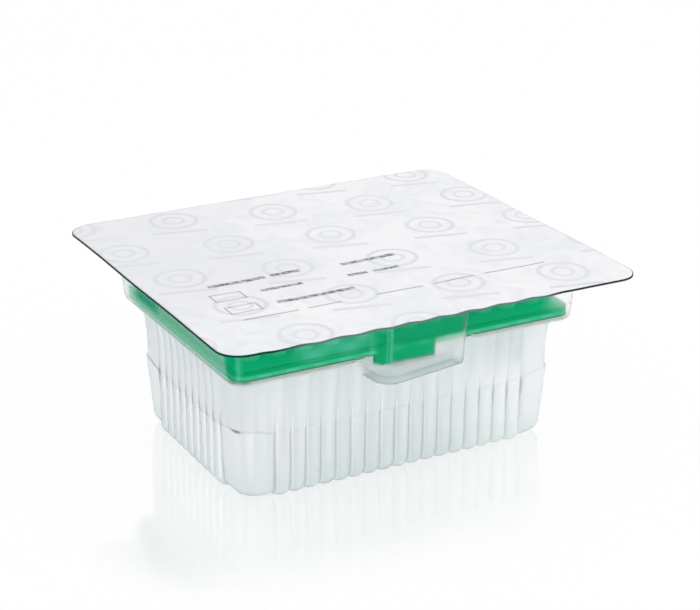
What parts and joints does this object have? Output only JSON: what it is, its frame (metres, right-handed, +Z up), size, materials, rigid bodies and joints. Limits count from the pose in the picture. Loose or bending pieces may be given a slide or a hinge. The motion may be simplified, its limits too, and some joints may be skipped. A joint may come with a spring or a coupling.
{
  "type": "pipette tip refill pack",
  "caption": "Sealed clear blister tray with fluted sides and a wide flange, a printed film on top, and a coloured plate inside that holds a grid of pipette tips.",
  "frame": {"origin": "middle of the pack's footprint, on the plane that the tray's foot stands on", "axes": "+X along the long side to the right, -Y to the side with the thumb recess, +Z up through the film"},
  "size_m": [0.1412, 0.126, 0.0608],
  "materials": {
    "clear_sheet": "clear thermoformed plastic sheet, glossy",
    "printed_film": "white printed film, satin",
    "green_plate": "satin green",
    "natural_tips": "natural translucent plastic"
  },
  "bodies": {
    "root": {"blister_tray": "clear_sheet", "seal_film": "printed_film", "tip_plate": "green_plate", "tips_column_01": "natural_tips", "tips_column_02": "natural_tips", "tips_column_03": "natural_tips", "tips_column_04": "natural_tips", "tips_column_05": "natural_tips", "tips_column_06": "natural_tips", "tips_column_07": "natural_tips", "tips_column_08": "natural_tips", "tips_column_09": "natural_tips", "tips_column_10": "natural_tips", "tips_column_11": "natural_tips", "tips_column_12": "natural_tips"}
  },
  "joints": []
}
